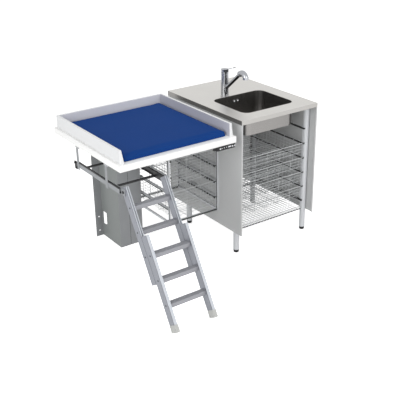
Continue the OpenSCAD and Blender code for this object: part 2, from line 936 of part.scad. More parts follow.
// lower stringer: a box section with a tee rib that hooks into the upper one's slot
module lower_stringer() {
    c = clr;
    difference() {
        union() {
            translate([lad_x, -str_d, 3]) linear_extrude(low_len - 3) difference() {
                square([str_w, str_d]);
                translate([str_t, str_t]) square([str_w - 2 * str_t, str_d - 2 * str_t]);
            }
            translate([lad_x + 6 + c, -1, cap_h + 4])
                cube([6 - 2 * c, up_y + slot_t + c + 2, low_len - cap_h - 4]);
            translate([lad_x + str_t + c, up_y + slot_t + c, cap_h + 4])
                cube([str_w - str_t - slot_t - 2 * c, tee_h - 2 * c, low_len - cap_h - 4]);
        }
        for (i = [0 : 2])
            xcyl(lad_x - 1, lad_x + str_w + 1, -str_d / 2, rung_1 + i * rung_step,
                rivet_d + 2 * fit);
    }
}

module upper_stringer_left() {
    row() color([0.68, 0.7, 0.72]) ladder() upper_stringer();
}

module upper_stringer_right() {
    row() color([0.68, 0.7, 0.72]) ladder() other_side() upper_stringer();
}

module lower_stringer_left() {
    row() color([0.72, 0.74, 0.76]) ladder() lower_stringer();
}

module lower_stringer_right() {
    row() color([0.72, 0.74, 0.76]) ladder() other_side() lower_stringer();
}

// hollow rung with a level tread between the stringers, riveted through them
module rung(y, s) {
    x1 = lad_x + str_w;
    x2 = lad_r - str_w;
    translate([0, y, s]) {
        rotate([90 - lean, 0, 0]) difference() {
            span([x1, -rung_d / 2, -rung_h / 2], [x2, rung_d / 2, rung_h / 2]);
            span([x1 + 3, rung_t - rung_d / 2, rung_t - rung_h / 2],
                [x2 - 3, rung_d / 2 - rung_t, rung_h / 2 - rung_t]);
        }
        xcyl(lad_x - rivet_t, x1 + 1, 0, 0, rivet_d);
        xcyl(x2 - 1, lad_r + rivet_t, 0, 0, rivet_d);
        xcyl(lad_x - rivet_t, lad_x, 0, 0, rivet_d + 4);
        xcyl(lad_r, lad_r + rivet_t, 0, 0, rivet_d + 4);
    }
}

module upper_rungs() {
    row() color([0.6, 0.61, 0.62]) ladder()
        for (i = [2 : 4])
            rung(up_y + str_d / 2 + 3, rung_1 + i * rung_step);
}

module lower_rungs() {
    row() color([0.6, 0.61, 0.62]) ladder()
        for (i = [0 : 2])
            rung(-str_d / 2, rung_1 + i * rung_step);
}

module foot_cap() {
    difference() {
        span([lad_x - cap_t, -str_d - cap_t, 0], [lad_x + str_w + cap_t, 0, cap_h]);
        span([lad_x, -str_d, 3], [lad_x + str_w, 1, cap_h + 1]);
    }
}

module foot_caps() {
    row() color([0.75, 0.75, 0.74]) ladder() {
        foot_cap();
        other_side() foot_cap();
    }
}

// ---- hand control ----

module hand_control() {
    row() color([0.06, 0.06, 0.07]) difference() {
        translate([ctl_x - ctl_w, ctl_y, ctl_z]) rbox(ctl_w, ctl_d, ctl_h, 9);
        for (x = [key_1, key_2, key_3])
            ycyl(ctl_y - 1, ctl_y + 9, ctl_x - x, key_z, key_d + 0.8);
    }
}

module key(x) {
    row() color([0.8, 0.8, 0.8]) ycyl(ctl_y - key_go - clr, ctl_y + 6, ctl_x - x, key_z, key_d);
}

module key_up() {
    key(key_1);
}

module key_down() {
    key(key_2);
}

module key_stop() {
    key(key_3);
}

// ---- mixer tap ----

module at_tap() {
    row() color([0.75, 0.76, 0.77]) translate([tap_x, tap_y, top_h]) children();
}

module tap_body() {
    at_tap() {
        cylinder(d = tap_d, h = ring_z1);
        translate([0, 0, -shank_h]) cylinder(d = shank_d, h = shank_h + 1);
        cylinder(r = neck_r, h = tap_h - 1);
        translate([0, 0, ring_z2]) cylinder(d = tap_d, h = tap_h - ring_z2);
    }
}

module tap_spout() {
    at_tap() difference() {
        union() {
            translate([0, 0, ring_z1 + 0.3]) cylinder(d = tap_d, h = ring_z2 - ring_z1 - 0.6);
            translate([0, 0, ring_z1 + 20]) rotate([90 - spout_a, 0, 0])
                translate([0, 0, 10]) cylinder(d = spout_d, h = spout_l - 10);
        }
        translate([0, 0, -1]) cylinder(r = neck_r + fit, h = tap_h);
        translate([0, 0, ring_z2 - 0.3]) cylinder(d = tap_d + 1, h = tap_h);
        translate([0, 0, ring_z1 + 20]) rotate([90 - spout_a, 0, 0])
            translate([0, 0, spout_l - stub_l - 5]) cylinder(d = hose_d, h = stub_l + 10);
    }
}

// pull-out head: hose stub in the spout, collar, elbow and nozzle that points down
module spray_head() {
    bend_r = head_d * 0.9;
    at_tap() translate([0, 0, ring_z1 + 20]) rotate([90 - spout_a, 0, 0])
        translate([0, 0, spout_l]) {
            translate([0, 0, -stub_l]) cylinder(d = hose_d - 2 * fit, h = stub_l + 2);
            translate([0, 0, seat]) cylinder(d = head_d + 2, h = 8);
            translate([0, -bend_r, 8]) rotate([90, 0, 90])
                rotate_extrude(angle = 90 + spout_a) translate([bend_r, 0]) circle(d = head_d);
            translate([0, -bend_r, 8]) rotate([90 + spout_a, 0, 0])
                translate([0, bend_r, -12]) cylinder(d = head_d + 2, h = 13);
        }
}

// turning cap with the valve's stub that stands in the lever's hood
module tap_cap() {
    at_tap() translate([0, 0, tap_h + seat]) {
        cylinder(d = tap_d, h = cap_ring);
        cylinder(d = tap_d / 2, h = cap_ring + hood_h * 0.6);
    }
}

// hood with a flat blade; it tilts on its rear lower edge
module tap_lever() {
    at_tap() translate([0, 0, tap_h + cap_ring + 2 * seat]) {
        difference() {
            cylinder(d = tap_d, h = hood_h);
            translate([0, 0, -1]) cylinder(d = tap_d - 2 * hood_t, h = hood_h - hood_t + 1);
        }
        translate([0, 0, hood_h * 0.6]) rotate([-lever_a, 0, 0]) difference() {
            union() {
                translate([-blade_w / 2, -lever_l, 0]) cube([blade_w, lever_l, blade_t]);
                translate([0, -lever_l, 0]) cylinder(d = blade_w, h = blade_t);
            }
            translate([0, 0, -1]) cylinder(d = tap_d - 1.5 * hood_t, h = blade_t + 2);
        }
    }
}

worktop();
tub();
waste();
plug();
overflow_cover();
panel_left();
panel_right();
legs();
feet();
runner_racks();
shelf_rails();
bottom_shelf();
basket_1();
basket_2();
basket_3();
basket_4();
bay_side_left();
bay_side_right();
bay_rails();
bay_basket_low();
bay_basket_high();
column_side_left();
column_side_right();
column_cover();
column_base();
column_cap();
actuator_tube();
actuator_rod();
mast();
underframe();
table_slab();
edge_wall_left();
edge_wall_right();
edge_wall_rear();
mattress();
hangers();
rail_left();
rail_right();
rail_liners();
rail_end_plates();
fixed_crossbar();
carrier_left();
carrier_right();
carrier_crossbar();
pivot_bolts();
upper_stringer_left();
upper_stringer_right();
upper_rungs();
lower_stringer_left();
lower_stringer_right();
lower_rungs();
foot_caps();
hand_control();
key_up();
key_down();
key_stop();
tap_body();
tap_spout();
spray_head();
tap_cap();
tap_lever();
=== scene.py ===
"""Finishes, wire baskets, soft mattress, trims and studio for a nursing-room changing unit."""
import json
import math

import bmesh
import bpy
from bpy.props import FloatProperty, FloatVectorProperty, IntProperty, PointerProperty
from mathutils import Matrix, Vector

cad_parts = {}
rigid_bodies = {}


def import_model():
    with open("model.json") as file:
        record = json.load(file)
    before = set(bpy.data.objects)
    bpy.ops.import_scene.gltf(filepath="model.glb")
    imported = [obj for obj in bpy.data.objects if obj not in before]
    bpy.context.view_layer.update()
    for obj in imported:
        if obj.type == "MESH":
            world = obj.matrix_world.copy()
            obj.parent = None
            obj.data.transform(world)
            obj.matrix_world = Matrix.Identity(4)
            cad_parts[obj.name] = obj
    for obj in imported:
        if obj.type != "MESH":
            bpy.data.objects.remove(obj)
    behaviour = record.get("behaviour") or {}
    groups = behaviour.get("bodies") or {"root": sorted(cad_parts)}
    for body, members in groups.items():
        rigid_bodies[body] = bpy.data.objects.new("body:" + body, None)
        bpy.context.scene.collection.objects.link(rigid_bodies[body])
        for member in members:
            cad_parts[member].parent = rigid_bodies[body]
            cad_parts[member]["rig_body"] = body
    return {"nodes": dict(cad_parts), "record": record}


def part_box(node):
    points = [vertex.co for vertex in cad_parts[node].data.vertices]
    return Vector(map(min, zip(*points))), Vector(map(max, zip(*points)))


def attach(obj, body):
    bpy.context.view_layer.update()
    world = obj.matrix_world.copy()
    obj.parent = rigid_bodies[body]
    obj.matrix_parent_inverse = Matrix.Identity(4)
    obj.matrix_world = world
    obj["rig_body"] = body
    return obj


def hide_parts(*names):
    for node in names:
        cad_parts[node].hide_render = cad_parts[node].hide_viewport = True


bl_info = {
    "name": "Changing Unit",
    "version": (1, 0, 0),
    "blender": (4, 5, 0),
    "location": "View3D > Sidebar > Changing Unit",
    "description": "Builds the finishes, baskets, mattress and trims of a changing unit",
    "category": "Object",
}

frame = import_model()
NODES = frame["nodes"]
SLOTS = {s["node"]: s["material_slot"] for s in frame["record"]["subparts"]}
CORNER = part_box("worktop")[0]
FINISHES = {}

# the ladder, in millimetres: its middle, the foot of its slope, its lean from upright, the height
# along it of the lowest rung and the distance between rungs
LADDER_MID, LADDER_FOOT, LADDER_LEAN = -683.5, -454, math.radians(30.5)
RUNG_FIRST, RUNG_STEP = 151, 139
# how far a basket's wires stand in from its rim, in metres
BASKET_INSET = 0.014


# ---- settings ----

def screen(rgb):
    """A colour as seen on a screen, 0 to 255, as linear light."""
    return [((c / 255 + 0.055) / 1.055) ** 2.4 for c in rgb]


def tint(label, text, rgb):
    """A colour setting."""
    return FloatVectorProperty(name=label, description=text, default=screen(rgb),
                               subtype="COLOR", size=3, min=0.0, max=1.0)


def length(label, text, default):
    """A length setting in metres."""
    return FloatProperty(name=label, description=text, default=default, min=0.0,
                         unit="LENGTH", precision=5)


class ColourSettings(bpy.types.PropertyGroup):
    """Colours of the finishes, named after the record's material slots."""
    worktop_steel: tint("Worktop", "Satin steel of the worktop", (208, 206, 202))
    # the tub's own steel, its colour darkened as painted shade of the tub's deep inside
    tub_steel: tint("Tub", "Deep-drawn steel of the tub, darkened as painted shade of its deep inside", (138, 136, 134))
    chrome: tint("Chrome", "Chrome of the tap and waste", (172, 174, 178))
    chrome_shade: tint("Chrome in shade", "Streaks of the chrome that mirror dark things",
                       (62, 64, 67))
    panel_paint: tint("Panels", "Powder coat of the side panels", (198, 199, 199))
    worktop_fold_shade: tint("Worktop fold", "Cross-brushed fold of the worktop, darker as painted shade", (172, 170, 167))
    leg_paint: tint("Legs", "Powder coat of the legs", (212, 214, 217))
    foot_rubber: tint("Feet", "Rubber of the feet", (44, 44, 45))
    rack_metal: tint("Runners", "Dark coat of the basket runners", (38, 40, 41))
    wire_metal: tint("Wires", "Coated wire of the baskets", (205, 207, 208))
    bay_metal: tint("Bay", "Dark coat of the bay's frame", (66, 69, 69))
    column_paint: tint("Column", "Powder coat of the column's sides", (136, 140, 139))
    # the cover's own coat, its colour darkened as painted shade under the table
    cover_paint: tint("Cover", "Powder coat of the column's cover, darkened as painted shade under the table", (145, 147, 149))
    steel: tint("Bright steel", "Steel of the mast and underframe", (170, 172, 175))
    black_metal: tint("Black metal", "Black coat of crossbars and carriers", (38, 38, 40))
    slab_white: tint("Slab", "Laminate of the table slab", (252, 252, 250))
    wall_vinyl: tint("Edge walls", "Vinyl of the raised edges", (232, 233, 234))
    # the walls' inner faces are the same vinyl, darker as painted shade
    wall_inside_shade: tint("Edge walls' inside", "Vinyl of the walls' inner faces, darker as painted shade", (184, 184, 192))
    wall_rear: tint("Rear wall's inside", "Vinyl of the rear wall's inner face, darker as painted shade", (208, 208, 214))
    mattress_vinyl: tint("Mattress", "Vinyl of the mattress", (22, 62, 128))
    rail_grey: tint("Rail", "Grey of the left rail and hangers", (150, 153, 156))
    black_plastic: tint("Black plastic", "Plastic of the hand control", (30, 30, 32))
    aluminium: tint("Aluminium", "Anodised aluminium of the ladder's sides", (142, 145, 153))
    front_alu_painted_light: tint("Ladder front", "Aluminium of the ladder's front flanges, lighter as painted light", (178, 182, 188))
    rung_alu: tint("Rungs", "Anodised aluminium of the rungs", (157, 158, 163))
    rivets_and_groove_shadows: tint("Rivets", "Dark coat of the rivets' heads, also the painted shadow lines of the ladder's grooves", (62, 62, 66))
    cap_plastic: tint("Foot caps", "Plastic of the ladder's foot caps", (186, 187, 184))
    key_white: tint("Keys", "Plastic of the keys", (224, 226, 228))


class WireSettings(bpy.types.PropertyGroup):
    """Sizes of the wire baskets, the mesh shelf and the runners' ridges."""
    wire: length("Wire", "Diameter of a basket wire", 0.002)
    rim: length("Rim", "Diameter of a basket's rim wire", 0.004)
    pitch: length("Pitch", "Distance between the wires of a basket's bottom", 0.03)
    upright: length("Upright", "Distance between a basket's carrying wires", 0.09)
    ring_pitch: length("Ring pitch", "Height between the wires round a basket", 0.02)
    shelf_wire: length("Shelf wire", "Diameter of the shelf's wires", 0.003)
    shelf_pitch: length("Shelf pitch", "Distance between the shelf's wires", 0.025)
    bend: length("Bend", "Bend radius of the wires", 0.006)
    ridge_pitch: length("Ridge pitch", "Distance between ridges of a runner", 0.025)


class TrimSettings(bpy.types.PropertyGroup):
    """Sizes of edges, fasteners and treads."""
    sheet_edge: length("Sheet edge", "Rounding of sheet-metal edges", 0.0005)
    slab_edge: length("Slab edge", "Rounding of the slab and edge walls", 0.003)
    ribs: IntProperty(name="Tread ribs", description="Ribs on each rung", default=7, min=1)


class MattressSettings(bpy.types.PropertyGroup):
    """How the mattress is filled."""
    pressure: FloatProperty(name="Pressure", description="Filling pressure of the pad",
                            default=4.0, min=0.0)
    swell: length("Swell", "Farthest that the cover may move", 0.006)
    voxel: length("Voxel", "Size of the remeshed faces", 0.0055)


class StudioSettings(bpy.types.PropertyGroup):
    """Lamps, sky and floor."""
    front: FloatProperty(name="Front", description="Power of the lamp in front",
                         default=90.0, min=0.0, unit="POWER")
    side: FloatProperty(name="Side", description="Power of the lamp on the left", default=140.0,
                        min=0.0, unit="POWER")
    top: FloatProperty(name="Top", description="Power of the lamp overhead", default=62.0,
                       min=0.0, unit="POWER")
    sky: FloatProperty(name="Sky", description="Strength of the sky's light", default=0.4,
                       min=0.0)
    floor: tint("Floor", "Colour of the floor", (240, 240, 240))


# ---- shared tools ----

def room(x, y, z):
    """A point in millimetres from the cabinet's left front corner on the floor, in metres."""
    return Vector((CORNER.x + x / 1000, CORNER.y + y / 1000, z / 1000))


def piece(name, mesh, body, slot, stands_for=()):
    """Links a finished mesh, gives it its finish and lets it ride on its body."""
    obj = bpy.data.objects.new(name, mesh)
    bpy.context.scene.collection.objects.link(obj)
    mesh.materials.clear()
    mesh.materials.append(FINISHES[slot])
    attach(obj, body)
    if stands_for:
        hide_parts(*stands_for)
    return obj


def evaluated(obj):
    """The object's mesh with its modifiers applied."""
    bpy.context.view_layer.update()
    graph = bpy.context.evaluated_depsgraph_get()
    return bpy.data.meshes.new_from_object(obj.evaluated_get(graph))


def bake(obj):
    """Swaps the object's mesh for the modified one and drops the modifiers."""
    mesh = evaluated(obj)
    obj.modifiers.clear()
    obj.data = mesh
    return obj


def welded(node, angle=0.3):
    """A copy of a CAD node's mesh, with its loose triangles merged into whole faces."""
    bm = bmesh.new()
    bm.from_mesh(NODES[node].data)
    bmesh.ops.remove_doubles(bm, verts=bm.verts, dist=2e-6)
    bmesh.ops.dissolve_limit(bm, angle_limit=math.radians(angle), verts=bm.verts,
                             edges=bm.edges)
    mesh = bpy.data.meshes.new(node + "_finished")
    bm.to_mesh(mesh)
    bm.free()
    return mesh


def smooth(mesh, angle=30):
    """Smooth shading with sharp edges kept."""
    mesh.shade_smooth()
    mesh.set_sharp_from_angle(angle=math.radians(angle))


def finish_node(node, width, segments=2):
    """Stands a copy of a CAD node with rounded edges in its place."""
    mesh = welded(node)
    obj = piece(node + "_finished", mesh, NODES[node]["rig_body"], SLOTS[node], [node])
    return rounded(obj, width, segments)


def repaint(obj, slot, where):
    """Gives some faces of a piece a second finish."""
    index = len(obj.data.materials)
    obj.data.materials.append(FINISHES[slot])
    for face in obj.data.polygons:
        if where(face):
            face.material_index = index


def rounded(obj, width, segments=2):
    """Rounds the sharp edges of a piece."""
    smooth(obj.data)
    edges = obj.modifiers.new("rounded edges", "BEVEL")
    edges.width = width
    edges.segments = segments
    edges.limit_method = "ANGLE"
    edges.angle_limit = math.radians(35)
    edges.harden_normals = True
    return bake(obj)


SQUARE = ((0, 0), (1, 0), (1, 1), (0, 1))


def prism(lower, upper):
    """A closed solid between two rings of as many points."""
    bm = bmesh.new()
    rings = [[bm.verts.new(point) for point in ring] for ring in (lower, upper)]
    bm.faces.new(rings[0])
    bm.faces.new(rings[1])
    for i in range(len(rings[0])):
        j = (i + 1) % len(rings[0])
        bm.faces.new((rings[0][i], rings[0][j], rings[1][j], rings[1][i]))
    bmesh.ops.recalc_face_normals(bm, faces=bm.faces)
    mesh = bpy.data.meshes.new("prism")
    bm.to_mesh(mesh)
    bm.free()
    return mesh


def block(corner, w, d, z1, z2):
    """A plain bar between two heights, to be rounded."""
    return prism(*([(corner.x + a * w, corner.y + b * d, z) for a, b in SQUARE]
                   for z in (z1, z2)))


def joined(name, meshes):
    """One mesh from several."""
    bm = bmesh.new()
    for mesh in meshes:
        bm.from_mesh(mesh)
        bpy.data.meshes.remove(mesh)
    out = bpy.data.meshes.new(name)
    bm.to_mesh(out)
    bm.free()
    return out


def path_mesh(points, closed=False):
    """A mesh of vertices and edges along points."""
    mesh = bpy.data.meshes.new("path")
    edges = [(i, i + 1) for i in range(len(points) - 1)]
    if closed:
        edges.append((len(points) - 1, 0))
    mesh.from_pydata(points, edges, [])
    return mesh


# ---- node trees ----

def new_tree(name, inputs):
    """An empty geometry tree with named inputs; returns tree, input node and output node."""
    tree = bpy.data.node_groups.new(name, "GeometryNodeTree")
    tree.interface.new_socket("Geometry", in_out="INPUT", socket_type="NodeSocketGeometry")
    for label, kind, default in inputs:
        socket = tree.interface.new_socket(label, in_out="INPUT",
                                           socket_type="NodeSocket" + kind)
        if default is not None:
            socket.default_value = default
    tree.interface.new_socket("Material", in_out="INPUT", socket_type="NodeSocketMaterial")
    tree.interface.new_socket("Geometry", in_out="OUTPUT", socket_type="NodeSocketGeometry")
    return tree, tree.nodes.new("NodeGroupInput"), tree.nodes.new("NodeGroupOutput")


def close_tree(tree, source, given, out):
    """Ends a tree in Realize Instances and Set Material."""
    real = tree.nodes.new("GeometryNodeRealizeInstances")
    paint = tree.nodes.new("GeometryNodeSetMaterial")
    tree.links.new(source, real.inputs[0])
    tree.links.new(real.outputs[0], paint.inputs["Geometry"])
    tree.links.new(given.outputs["Material"], paint.inputs["Material"])
    tree.links.new(paint.outputs[0], out.inputs[0])


def wire_tree():
    """Sweeps a path as a bent wire and repeats it at equal steps."""
    tree, given, out = new_tree("Wire runs", [
        ("Wire radius", "Float", 0.0015), ("Bend radius", "Float", 0.006),
        ("Count", "Int", 1), ("Step", "Vector", (0.0, 0.0, 0.0)), ("Sides", "Int", 6)])
    add, link = tree.nodes.new, tree.links.new
    curve = add("GeometryNodeMeshToCurve")
    link(given.outputs["Geometry"], curve.inputs[0])
    bend = add("GeometryNodeFilletCurve")
    bend.inputs["Limit Radius"].default_value = True
    bend.mode = "POLY"
    bend.inputs["Count"].default_value = 3
    link(curve.outputs[0], bend.inputs["Curve"])
    link(given.outputs["Bend radius"], bend.inputs["Radius"])
    profile = add("GeometryNodeCurvePrimitiveCircle")
    link(given.outputs["Wire radius"], profile.inputs["Radius"])
    link(given.outputs["Sides"], profile.inputs["Resolution"])
    sweep = add("GeometryNodeCurveToMesh")
    sweep.inputs["Fill Caps"].default_value = True
    link(bend.outputs[0], sweep.inputs["Curve"])
    link(profile.outputs[0], sweep.inputs["Profile Curve"])
    soft = add("GeometryNodeSetShadeSmooth")
    link(sweep.outputs[0], soft.inputs[0])
    line = add("GeometryNodeMeshLine")
    link(given.outputs["Count"], line.inputs["Count"])
    link(given.outputs["Step"], line.inputs["Offset"])
    spread = add("GeometryNodeInstanceOnPoints")
    link(line.outputs[0], spread.inputs["Points"])
    link(soft.outputs[0], spread.inputs["Instance"])
    close_tree(tree, spread.outputs[0], given, out)
    return tree


def bar_tree():
    """Stands a row of small bars at each point of the mesh."""
    tree, given, out = new_tree("Bar rows", [
        ("Size", "Vector", (0.001, 0.001, 0.001)), ("Count", "Int", 1),
        ("Step", "Vector", (0.0, 0.0, 0.0))])
    add, link = tree.nodes.new, tree.links.new
    bar = add("GeometryNodeMeshCube")
    link(given.outputs["Size"], bar.inputs["Size"])
    line = add("GeometryNodeMeshLine")
    link(given.outputs["Count"], line.inputs["Count"])
    link(given.outputs["Step"], line.inputs["Offset"])
    rows = add("GeometryNodeInstanceOnPoints")
    link(given.outputs["Geometry"], rows.inputs["Points"])
    link(line.outputs[0], rows.inputs["Instance"])
    flat = add("GeometryNodeRealizeInstances")
    link(rows.outputs[0], flat.inputs[0])
    bars = add("GeometryNodeInstanceOnPoints")
    link(flat.outputs[0], bars.inputs["Points"])
    link(bar.outputs[0], bars.inputs["Instance"])
    close_tree(tree, bars.outputs[0], given, out)
    return tree


TREES = {}


def grown(kind, mesh, slot, **values):
    """Runs one of the trees on a mesh and returns the plain mesh it makes."""
    if kind not in TREES:
        TREES[kind] = {"wire": wire_tree, "bar": bar_tree}[kind]()
    tree = TREES[kind]
    obj = bpy.data.objects.new("grown", mesh)
    bpy.context.scene.collection.objects.link(obj)
    nodes = obj.modifiers.new("grow", "NODES")
    nodes.node_group = tree
    values["Material"] = FINISHES[slot]
    ids = {i.name: i.identifier for i in tree.interface.items_tree
           if i.item_type == "SOCKET" and i.in_out == "INPUT"}
    for label, value in values.items():
        nodes[ids[label.replace("_", " ")]] = value
    made = evaluated(obj)
    bpy.data.objects.remove(obj)
    return made


def wires(points, slot, radius, count=1, step=(0.0, 0.0, 0.0), closed=False, bend=0.006,
          sides=6):
    """Bent wires along points, repeated."""
    return grown("wire", path_mesh([tuple(p) for p in points], closed), slot,
                 Wire_radius=radius, Bend_radius=bend, Count=count,
                 Step=tuple(float(s) for s in step), Sides=sides)


def bars(starts, slot, size, count, step):
    """Rows of small bars that begin at the starts."""
    return grown("bar", dots(starts), slot, Size=size, Count=count, Step=step)


def dots(points):
    """A mesh of loose points."""
    mesh = bpy.data.meshes.new("dots")
    mesh.from_pydata([tuple(p) for p in points], [], [])
    return mesh


# ---- finishes ----

def coated(name, colour, rough, metallic, grain, scale, bump):
    """A finish with cloudy colour, uneven gloss and a fine surface."""
    depth, mottle, spread, blotch, specular = 0.0001, 0.04, 0.04, 6.0, 0.3
    mat = bpy.data.materials.new(name)
    mat.use_nodes = True
    add, link = mat.node_tree.nodes.new, mat.node_tree.links.new
    shader = mat.node_tree.nodes["Principled BSDF"]
    shader.inputs["Metallic"].default_value = metallic
    shader.inputs["Specular IOR Level"].default_value = specular
    place = add("ShaderNodeTexCoord")
    stretch = add("ShaderNodeMapping")
    stretch.inputs["Scale"].default_value = grain
    link(place.outputs["Object"], stretch.inputs["Vector"])
    fine = add("ShaderNodeTexNoise")
    fine.inputs["Scale"].default_value = scale
    fine.inputs["Detail"].default_value = 2.0
    link(stretch.outputs[0], fine.inputs["Vector"])
    cloud = add("ShaderNodeTexNoise")
    cloud.inputs["Scale"].default_value = blotch
    cloud.inputs["Detail"].default_value = 3.0
    link(place.outputs["Object"], cloud.inputs["Vector"])
    shade = add("ShaderNodeMix")
    shade.data_type = "RGBA"
    link(cloud.outputs["Fac"], shade.inputs["Factor"])
    for socket, share in ((6, 1.0 - mottle), (7, 1.0 + mottle)):
        shade.inputs[socket].default_value = [min(1.0, c * share) for c in colour] + [1.0]
    link(shade.outputs[2], shader.inputs["Base Color"])
    gloss = add("ShaderNodeMapRange")
    gloss.inputs["From Min"].default_value = 0.3
    gloss.inputs["From Max"].default_value = 0.7
    gloss.inputs["To Min"].default_value = max(0.02, rough - spread)
    gloss.inputs["To Max"].default_value = rough + spread
    link(fine.outputs["Fac"], gloss.inputs["Value"])
    link(gloss.outputs[0], shader.inputs["Roughness"])
    relief = add("ShaderNodeBump")
    relief.inputs["Strength"].default_value = bump
    relief.inputs["Distance"].default_value = depth
    link(fine.outputs["Fac"], relief.inputs["Height"])
    link(relief.outputs[0], shader.inputs["Normal"])
    return mat, shader


class UNIT_OT_finishes(bpy.types.Operator):
    """Makes the finishes of all pieces"""
    bl_idname = "unit.finishes"
    bl_label = "Finishes"

    def execute(self, context):
        c = context.scene.unit_colours
        kinds = {
            "worktop_steel": ("Brushed worktop steel", 0.36, 1.0, (1.0, 60.0, 60.0), 30.0, 0.06),
            "worktop_fold_shade": ("Cross-brushed steel", 0.38, 1.0, (60.0, 60.0, 1.0), 30.0, 0.06),
            "tub_steel": ("Deep-drawn tub steel", 0.3, 1.0, (1.0, 1.0, 1.0), 500.0, 0.05),
            "chrome": ("Chrome plating", 0.24, 1.0, (1.0, 1.0, 1.0), 300.0, 0.01),
            "chrome_shade": ("Shaded chrome", 0.2, 1.0, (1.0, 1.0, 1.0), 300.0, 0.01),
            "panel_paint": ("Panel powder coat", 0.5, 0.0, (1.0, 1.0, 1.0), 1400.0, 0.15),
            "leg_paint": ("Leg powder coat", 0.4, 0.0, (1.0, 1.0, 1.0), 1400.0, 0.12),
            "foot_rubber": ("Foot rubber", 0.75, 0.0, (1.0, 1.0, 1.0), 700.0, 0.3),
            "rack_metal": ("Dark runner coat", 0.45, 0.0, (1.0, 1.0, 1.0), 1400.0, 0.2),
            "wire_metal": ("Coated wire", 0.35, 0.0, (1.0, 1.0, 1.0), 1200.0, 0.1),
            "bay_metal": ("Bay powder coat", 0.45, 0.0, (1.0, 1.0, 1.0), 1400.0, 0.12),
            "column_paint": ("Column powder coat", 0.5, 0.0, (1.0, 1.0, 1.0), 1400.0, 0.15),
            "cover_paint": ("Cover powder coat", 0.5, 0.0, (1.0, 1.0, 1.0), 1400.0, 0.15),
            "steel": ("Drawn steel", 0.35, 1.0, (60.0, 60.0, 1.0), 20.0, 0.05),
            "black_metal": ("Black coat", 0.4, 0.0, (1.0, 1.0, 1.0), 1400.0, 0.15),
            "slab_white": ("Slab laminate", 0.35, 0.0, (1.0, 1.0, 1.0), 500.0, 0.05),
            "wall_vinyl": ("Edge wall vinyl", 0.4, 0.0, (1.0, 1.0, 1.0), 900.0, 0.2),
            "wall_inside_shade": ("Inner wall vinyl", 0.45, 0.0, (1.0, 1.0, 1.0), 900.0, 0.2),
            "wall_rear": ("Rear wall vinyl", 0.45, 0.0, (1.0, 1.0, 1.0), 900.0, 0.2),
            "mattress_vinyl": ("Mattress vinyl", 0.62, 0.0, (1.0, 1.0, 1.0), 1100.0, 0.35),
            "rail_grey": ("Rail grey coat", 0.45, 0.0, (1.0, 1.0, 1.0), 1400.0, 0.12),
            "black_plastic": ("Black plastic", 0.42, 0.0, (1.0, 1.0, 1.0), 1600.0, 0.25),
            "aluminium": ("Anodised aluminium", 0.4, 0.25, (30.0, 4.0, 4.0), 60.0, 0.05),
            "front_alu_painted_light": ("Anodised front flanges", 0.4, 0.25, (30.0, 4.0, 4.0), 60.0, 0.05),
            "rung_alu": ("Ribbed aluminium", 0.42, 0.3, (4.0, 30.0, 30.0), 60.0, 0.05),
            "rivets_and_groove_shadows": ("Dark rivets", 0.45, 0.2, (1.0, 1.0, 1.0), 900.0, 0.1),
            "cap_plastic": ("Foot cap plastic", 0.5, 0.0, (1.0, 1.0, 1.0), 1200.0, 0.2),
            "key_white": ("Key plastic", 0.4, 0.0, (1.0, 1.0, 1.0), 1200.0, 0.1),
        }
        for slot, (label, rough, metallic, grain, scale, bump) in kinds.items():
            FINISHES[slot], shader = coated(label, getattr(c, slot), rough, metallic, grain,
                                            scale, bump)
            if slot == "mattress_vinyl":
                shader.inputs["Specular IOR Level"].default_value = 0.05
            if slot == "slab_white":
                shader.inputs["Coat Weight"].default_value = 0.2
        for name, obj in NODES.items():
            obj.data.materials.clear()
            obj.data.materials.append(FINISHES[SLOTS[name]])
        return {"FINISHED"}


# ---- cabinet ----

class UNIT_OT_cabinet(bpy.types.Operator):
    """Worktop, tub, waste, side panels, legs and feet"""
    bl_idname = "unit.cabinet"
    bl_label = "Cabinet"

    def execute(self, context):
        edge = context.scene.unit_trims.sheet_edge
        top = finish_node("worktop", 3 * edge, 3)
        # the upright faces get a cross-brushed steel whose darker colour is painted shade
        repaint(top, "worktop_fold_shade", lambda face: abs(face.normal.z) < 0.5)
        # the left edge, turned towards the table's wall, gets the darker tub steel as painted
        # shade
        repaint(top, "tub_steel", lambda face: face.normal.x < -0.5)
        finish_node("tub", edge)
        for node in ("waste", "plug", "overflow_cover", "panel_left", "panel_right", "legs"):
            finish_node(node, edge)
        finish_node("feet", 2 * edge)
        return {"FINISHED"}


def between(a, b, pitch):
    """Count and equal step of what stands between two ends, about a pitch apart."""
    n = max(1, round((b - a) / pitch) - 1)
    return n, (b - a) / (n + 1)


